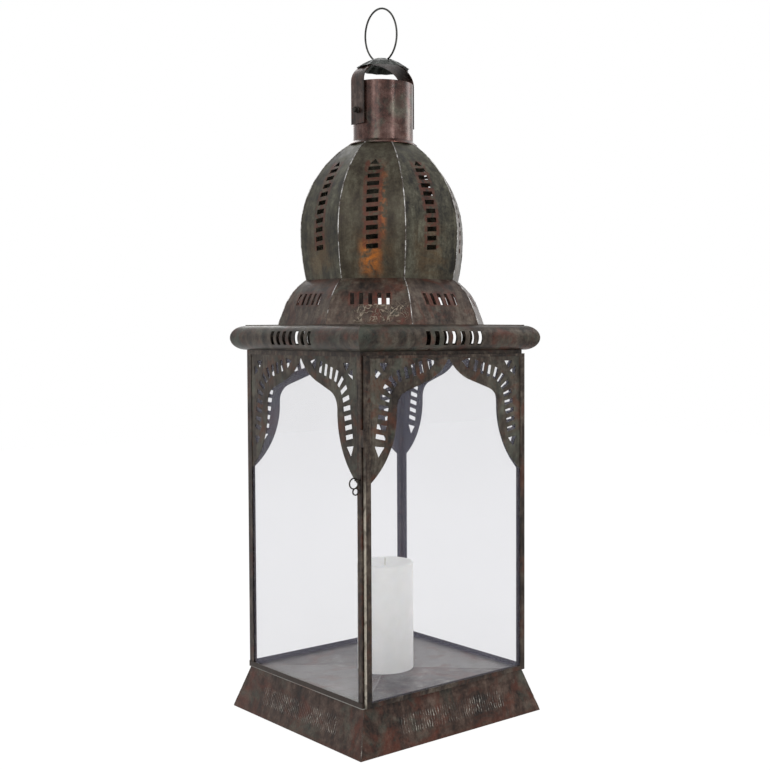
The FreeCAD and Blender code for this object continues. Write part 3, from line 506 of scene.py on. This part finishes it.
def gore_finish(index, low, high):
    finish = Finish(f"gore_steel_{index + 1}", srgb(20, 18, 13), srgb(58, 55, 44), srgb(94, 93, 79),
                    -index * GORE_STEP, 4.1 + 1.9 * index)
    tree = finish.tree
    x, _, z = split(tree, finish.place)
    scorch = overlap(tree, window(tree, x, 0.0, 12 * MM, 26 * MM),
                     window(tree, z, low - 6 * MM, 12 * MM, 36 * MM))
    finish.patches(srgb(90, 68, 40), 21, 0.42, 0.6, 0.5, scorch)
    if index == CORNER_GORE:
        below = overlap(tree, window(tree, x, -2 * MM, 5 * MM, 14 * MM),
                        window(tree, z, low - 14 * MM, 6 * MM, 26 * MM))
        beside = overlap(tree, window(tree, x, 13 * MM, 1 * MM, 7 * MM),
                         window(tree, z, (low + high) / 2, 22 * MM, 40 * MM))
        finish.tint(srgb(52, 40, 28), 0.35).patches(srgb(158, 90, 26), 60, 0.4, 0.6, 0.9, below)
        finish.patches(BRIGHT_RUST, 90, 0.44, 0.6, 0.8, beside)
    border = halo(finish, LADDER_HALF + 1.5 * MM, low, high)
    return finish.patches(srgb(78, 36, 24), 110, 0.4, 0.56, 0.75, border).close()


def drum_finish(index, low, high):
    finish = Finish(f"drum_steel_{index + 1}", srgb(26, 20, 17), srgb(60, 48, 41), srgb(94, 84, 74),
                    -index * GORE_STEP, 2.6 + 1.7 * index)
    finish.patches(RUST, 24, 0.5, 0.66, 0.55).patches(GREY_GREEN, 15, 0.54, 0.68, 0.5)
    return finish.patches(srgb(88, 40, 28), 90, 0.4, 0.58, 0.6, halo(finish, DRUM_SLOTS_HALF, low, high))


def embossed_scrolls(finish, low):
    """Curled leaf lines pressed into the lower right of the panel over the front corner."""
    tree = finish.tree
    x, _, z = split(tree, finish.place)
    curls = noise(tree, object_place(tree, 0.0, (0.3, 0.7, 0.2)), 58, 1.0, 0.4, 2.6)
    lines = window(tree, curls, 0.5, 0.018, 0.035)
    lines = overlap(tree, lines, overlap(tree, window(tree, x, 14 * MM, 30 * MM, 8 * MM),
                                         window(tree, z, low + 11 * MM, 9 * MM, 6 * MM)))
    finish.raise_by(calculate(tree, "MULTIPLY", lines, 1.8))
    return finish.tint(srgb(146, 134, 118), calculate(tree, "MULTIPLY", lines, 0.6))


def seam_points(name, index):
    """The outer edge that a panel shares with the next one, read from the panel's own shape."""
    turn = Matrix.Rotation(-index * GORE_STEP, 3, "Z")
    slope = math.tan(GORE_STEP / 2)
    edge = []
    for vertex in nodes[name].data.vertices:
        local = turn @ vertex.co
        if abs(local.x + local.y * slope) < 0.05 * MM:
            edge.append((vertex.co.z, -local.y, vertex.co.copy()))
    edge.sort(key=lambda item: item[0])
    outer = [item for item in edge
             if not any(abs(other[0] - item[0]) < 1.2 * MM and other[1] > item[1] + 0.45 * MM
                        for other in edge)]
    kept = []
    for item in outer:
        if not kept or item[0] - kept[-1].z > 1.5 * MM:
            kept.append(item[2])
    return kept


for index in range(8):
    panel, gore = f"drum_panel_{index + 1}", f"dome_gore_{index + 1}"
    drum_low, drum_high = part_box(panel)
    gore_low, gore_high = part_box(gore)
    drum = drum_finish(index, drum_low[2] + DRUM_SLOTS_FROM_FOOT, drum_high[2] - DRUM_SLOTS_FROM_TOP)
    if index == CORNER_GORE:
        embossed_scrolls(drum, drum_low[2] + 4 * MM)
    dress(panel, drum.close(0.4, (0.28, 0.52), 0.6, 0.0016))
    dress(gore, gore_finish(index, gore_low[2] + LADDER_FROM_FOOT, gore_high[2] - LADDER_FROM_TOP))
    bead(f"drum_seam_{index + 1}", seam_points(panel, index), DRUM_BEAD, "lantern", solder)
    bead(f"dome_seam_{index + 1}", seam_points(gore, index), DOME_BEAD, "lantern", solder)

# ---- Chimney ---------------------------------------------------------------------------------
# A tube of thin steel with a glossy red-brown finish, closed by a lapped seam, with a solder
# fillet where it meets the dome.
FOOT_BEAD = 1.3 * MM
finish = Finish("tube_steel", srgb(30, 18, 15), srgb(68, 44, 38), srgb(104, 82, 76), shift=7.4)
finish.patches(srgb(104, 50, 34), 18, 0.5, 0.66, 0.5).patches(srgb(84, 90, 78), 22, 0.52, 0.66, 0.5)
dress("chimney_tube", finish.close(0.55, (0.18, 0.34), 0.3, 0.0010, 0.5))
foot_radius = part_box("handle_strap")[1][0] - 1.2 * MM
foot_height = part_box("dome_gore_1")[1][2] + 0.6 * MM
foot_angles = [step * math.pi / 36 for step in range(73)]
around = [(foot_radius * math.cos(turn), foot_radius * math.sin(turn), foot_height) for turn in foot_angles]
bead("tube_fillet", around, FOOT_BEAD, "lantern", aged_solder)

# ---- Handle ----------------------------------------------------------------------------------
# An inverted U of flat strip on two rivets, loose enough to swing over the tube. A small nut holds
# each rivet outside the strap.
NUT_RADIUS = 4.2 * MM
NUT_DEPTH = 3.4 * MM
NUT_BEVEL = 0.5 * MM
NUT_PROUD = 0.45 * NUT_DEPTH
strap = Finish("strap_steel", srgb(28, 20, 17), srgb(58, 43, 37), srgb(96, 82, 76), shift=1.1, grain=1.5)
dress("handle_strap", strap.patches(RUST, 30, 0.52, 0.66, 0.5).close(0.5, (0.24, 0.44), 0.3, 0.0008, 0.4))
bare = Finish("bare_steel", srgb(22, 19, 17), srgb(50, 45, 41), srgb(92, 86, 80), shift=3.8, grain=3)
bare_steel = bare.close(0.7, (0.3, 0.48), 0.25, 0.0004)
dress("handle_rivets", bare_steel)
rivets_low, rivets_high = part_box("handle_rivets")
rivet_height = (rivets_low[2] + rivets_high[2]) / 2
for name, side, outer in (("rivet_nut_left", -1, rivets_low[0]), ("rivet_nut_right", 1, rivets_high[0])):
    shape = bmesh.new()
    bmesh.ops.create_cone(shape, cap_ends=True, segments=6, radius1=NUT_RADIUS, radius2=NUT_RADIUS,
                          depth=NUT_DEPTH)
    bmesh.ops.bevel(shape, geom=shape.edges[:], offset=NUT_BEVEL, affect="EDGES", segments=2, profile=0.5,
                    material=-1)
    bmesh.ops.rotate(shape, verts=shape.verts, matrix=Matrix.Rotation(math.pi / 2, 3, "Y"))
    bmesh.ops.translate(shape, verts=shape.verts, vec=(outer + side * NUT_PROUD, 0, rivet_height))
    mesh = bpy.data.meshes.new(name)
    shape.to_mesh(mesh)
    shape.free()
    mesh.materials.append(bare_steel)
    nut = bpy.data.objects.new(name, mesh)
    bpy.context.collection.objects.link(nut)
    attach(nut, "lantern")

# ---- Cap and ring ----------------------------------------------------------------------------
# A crimped cap of thin sheet, almost black with a green cast, and a ring of drawn wire.
cap = Finish("cap_steel", srgb(10, 13, 10), srgb(26, 32, 26), srgb(58, 64, 54), shift=2.9, grain=2)
dress("smoke_cap", cap.close(0.5, (0.34, 0.55), 0.3, 0.0008))
wire = Finish("ring_wire", srgb(30, 31, 29), srgb(52, 53, 50), srgb(84, 84, 80), shift=6.1, grain=3)
dress("carry_ring", wire.close(0.6, (0.32, 0.5), 0.2, 0.0003))

# ---- Door ------------------------------------------------------------------------------------
# A frame of folded channel round its own arch sheet and pane, hinged on rolled knuckles. The free
# edge is rubbed pale over its lower half, and that pale streak is also a painted highlight.
door_steel = frame_finish("door_steel", 4.9)
for name in ("door_hinge_stile", "door_top_rail", "door_bottom_rail", "door_lap_tab",
             "hinge_frame_knuckles"):
    dress(name, door_steel)
worn = frame_finish("rubbed_and_highlit_edge_steel", 4.9, open_finish=True)
x, _, z = split(worn.tree, worn.place)
edge = overlap(worn.tree, window(worn.tree, x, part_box("door_free_stile")[0][0], 0.5 * MM, 0.3 * MM),
               window(worn.tree, z, 180 * MM, 90 * MM, 110 * MM))
# Pale streak down the free edge, fading upward: rubbed bare steel and a painted highlight.
worn.patches(srgb(196, 188, 172), 55, 0.34, 0.54, 0.75, edge)
dress("door_free_stile", worn.close(0.4, (0.28, 0.5), 0.3, 0.0008))
dress("door_arch_panel", arch_finish("arch_steel_door", 9.1))
dress("door_glass", pane)
dress("hinge_rod", bare_steel)

# ---- Latch -----------------------------------------------------------------------------------
# A figure-eight link of wire that hangs in a staple on the post.
dress("latch_staple", bare_steel)
dress("latch_link", bare_steel)

# ---- Candle ----------------------------------------------------------------------------------
# A white pillar candle that has burnt a little hollow, with a wick that the wax has run over.
material, tree, surface = new_material("white_wax")
haze = noise(tree, object_place(tree), 40, 4, 0.6)
wax = ramp(tree, haze, ((0.3, srgb(240, 240, 236)), (0.7, srgb(250, 250, 247))))
link(tree, wax, surface.inputs["Base Color"])
surface.inputs["Roughness"].default_value = 0.48
surface.inputs["Subsurface Weight"].default_value = 0.25
surface.inputs["Subsurface Radius"].default_value = (0.012, 0.010, 0.008)
surface.inputs["Subsurface Scale"].default_value = 0.5
dress("candle", material)
material, tree, surface = new_material("waxed_wick")
fibres = noise(tree, object_place(tree), 300)
waxed = ramp(tree, fibres, ((0.4, srgb(196, 192, 182)), (0.6, srgb(222, 220, 212))))
link(tree, waxed, surface.inputs["Base Color"])
surface.inputs["Roughness"].default_value = 0.9
dress("wick", material)
